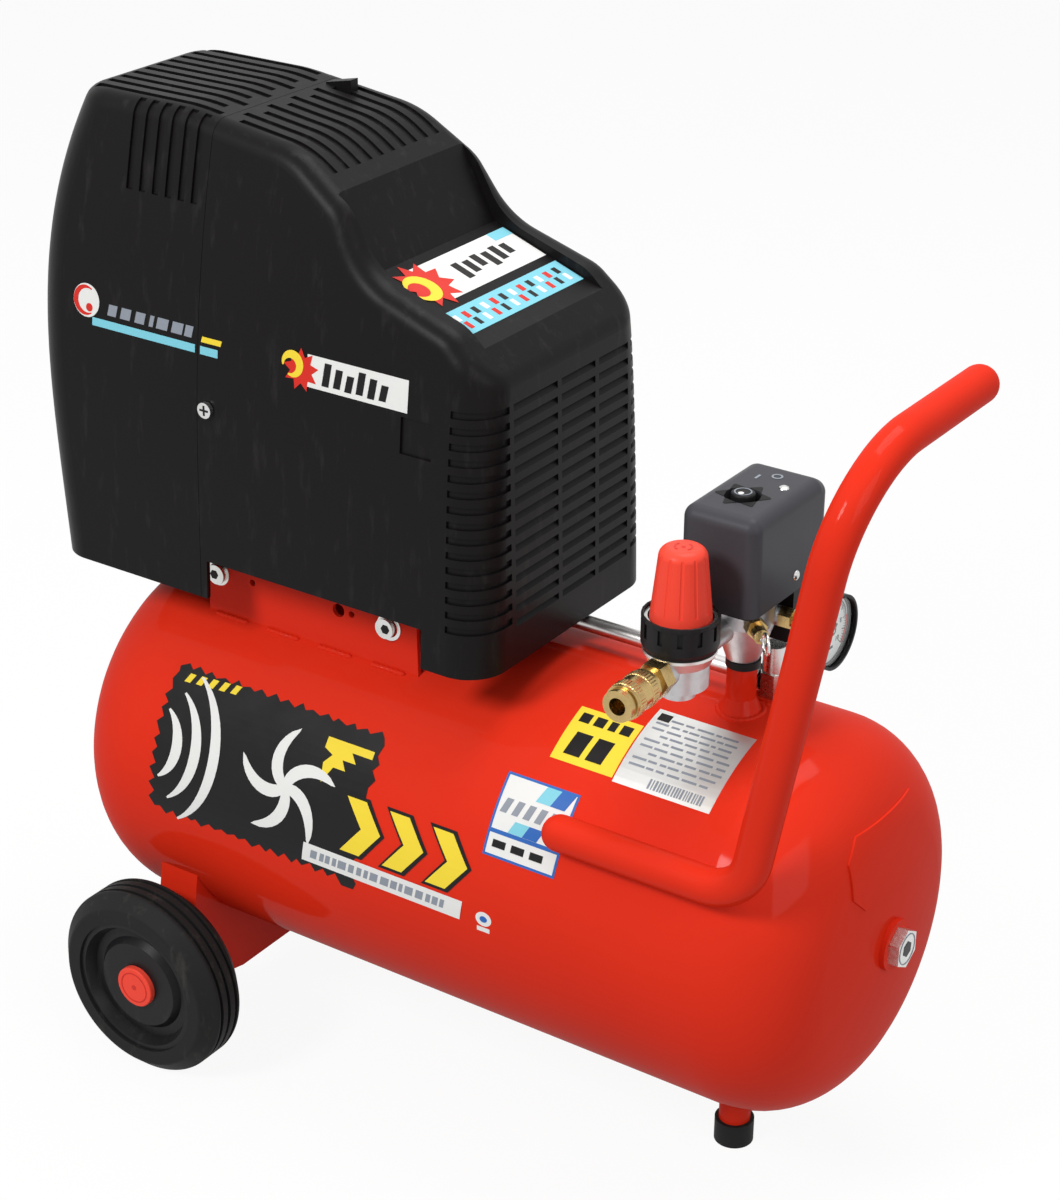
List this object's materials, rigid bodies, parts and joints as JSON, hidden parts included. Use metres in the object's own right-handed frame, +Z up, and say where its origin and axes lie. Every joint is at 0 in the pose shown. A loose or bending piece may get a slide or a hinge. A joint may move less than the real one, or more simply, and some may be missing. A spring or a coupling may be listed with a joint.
{
  "type": "portable air compressor",
  "caption": "Portable air compressor: horizontal tank on two wheels and a foot, shrouded oil-free pump and motor, pressure switch, regulator, gauge and push handle.",
  "frame": {"origin": "centre of the bounding box in X and Y, at floor level, where the wheels and the foot stand", "axes": "+X from the wheels towards the foot and the push handle, +Y across the tank towards the far wheel, +Z up"},
  "size_m": [0.5944, 0.3232, 0.6215],
  "materials": {
    "tank_red": "gloss",
    "plated_steel": "satin",
    "black_rubber": "matte",
    "tyre_black": "matte",
    "wheel_plastic": "satin",
    "hub_red": "gloss",
    "shroud_black": "satin",
    "cast_grey": "satin",
    "machined_steel": "satin",
    "core_steel": "satin",
    "winding_copper": "satin",
    "black_plastic": "satin",
    "switch_grey": "satin",
    "knob_red": "gloss",
    "pipe_copper": "satin",
    "brass": "satin",
    "ring_steel": "satin",
    "dial_white": "matte",
    "gauge_window": "gloss"
  },
  "bodies": {
    "frame": {"tank_shell": "tank_red", "tank_bosses": "tank_red", "front_foot_tube": "tank_red", "axle_bracket": "tank_red", "handle_tube": "tank_red", "pump_saddle": "tank_red", "data_plate": "tank_red", "inspection_plugs": "plated_steel", "axle_bolts": "plated_steel", "saddle_bolts": "plated_steel", "pipe_nut": "plated_steel", "shroud_screws": "plated_steel", "front_foot_cap": "black_rubber", "rubber_mounts": "black_rubber", "shroud_left_cover": "shroud_black", "shroud_right_cover": "shroud_black", "motor_housing": "cast_grey", "motor_end_shields": "cast_grey", "crankcase": "cast_grey", "valve_plate": "cast_grey", "cylinder_head": "cast_grey", "cylinder": "cast_grey", "switch_manifold": "cast_grey", "regulator_body": "cast_grey", "shaft_bearings": "machined_steel", "regulator_spring": "machined_steel", "stator_core": "core_steel", "stator_windings": "winding_copper", "motor_capacitor": "black_plastic", "intake_filter": "black_plastic", "switch_base": "black_plastic", "cable_glands": "black_plastic", "regulator_lock_ring": "black_plastic", "gauge_case": "black_plastic", "switch_cover": "switch_grey", "delivery_pipe": "pipe_copper", "unloader_tube": "pipe_copper", "check_valve": "brass", "manifold_fittings": "brass", "coupler_body": "brass", "drain_cock_body": "brass", "gauge_dial": "dial_white", "gauge_glass": "gauge_window"},
    "near_wheel": {"near_wheel_tyre": "tyre_black", "near_wheel_rim": "wheel_plastic", "near_hub_cap": "hub_red"},
    "far_wheel": {"far_wheel_tyre": "tyre_black", "far_wheel_rim": "wheel_plastic", "far_hub_cap": "hub_red"},
    "crank": {"crankshaft": "machined_steel", "rotor": "machined_steel", "cooling_fan": "black_plastic"},
    "conrod": {"connecting_rod": "cast_grey"},
    "piston": {"piston": "cast_grey"},
    "drain_key": {"drain_cock_key": "ring_steel"},
    "relief_ring": {"relief_valve_ring": "ring_steel"},
    "outlet_knob": {"regulator_knob": "knob_red"},
    "coupler_sleeve": {"coupler_sleeve": "brass"},
    "gauge_needle": {"gauge_pointer": "black_plastic"},
    "switch_knob": {"switch_knob": "black_plastic"}
  },
  "joints": [
    {"name": "near_wheel_spin", "type": "hinge", "parent": "frame", "child": "near_wheel", "pos_m": [-0.178, -0.1424, 0.0645], "axis": [0, 1, 0], "continuous": true},
    {"name": "far_wheel_spin", "type": "hinge", "parent": "frame", "child": "far_wheel", "pos_m": [-0.178, 0.1424, 0.0645], "axis": [0, 1, 0], "continuous": true},
    {"name": "crank_turn", "type": "hinge", "parent": "frame", "child": "crank", "pos_m": [-0.095, 0, 0.425], "axis": [1, 0, 0], "continuous": true},
    {"name": "conrod_turn", "type": "hinge", "parent": "crank", "child": "conrod", "pos_m": [-0.185, 0, 0.415], "axis": [1, 0, 0], "continuous": true},
    {"name": "piston_stroke", "type": "slide", "parent": "frame", "child": "piston", "axis": [0, 0, 1], "range_m": [0, 0.02]},
    {"name": "drain_turn", "type": "hinge", "parent": "frame", "child": "drain_key", "pos_m": [0, 0, 0.0423], "axis": [0, 0, 1], "range_deg": [0, 180]},
    {"name": "relief_pull", "type": "slide", "parent": "frame", "child": "relief_ring", "axis": [0.7071, -0.7071, 0], "range_m": [0, 0.003], "stiffness_N_per_m": 1500, "springref_m": -0.001},
    {"name": "outlet_adjust", "type": "hinge", "parent": "frame", "child": "outlet_knob", "pos_m": [0.163, -0.064, 0.39], "axis": [0, 0, 1], "range_deg": [-720, 720]},
    {"name": "coupler_release", "type": "slide", "parent": "frame", "child": "coupler_sleeve", "axis": [0, 1, 0], "range_m": [0, 0.005], "stiffness_N_per_m": 1500, "springref_m": -0.001},
    {"name": "needle_turn", "type": "hinge", "parent": "frame", "child": "gauge_needle", "pos_m": [0.2196, 0.01, 0.367], "axis": [-1, 0, 0], "range_deg": [0, 270]},
    {"name": "switch_pull", "type": "slide", "parent": "frame", "child": "switch_knob", "axis": [0, 0, 1], "range_m": [0, 0.008]}
  ],
  "couplings": [
    {"joint": "conrod_turn", "follows": "crank_turn", "ratio": -1}
  ]
}
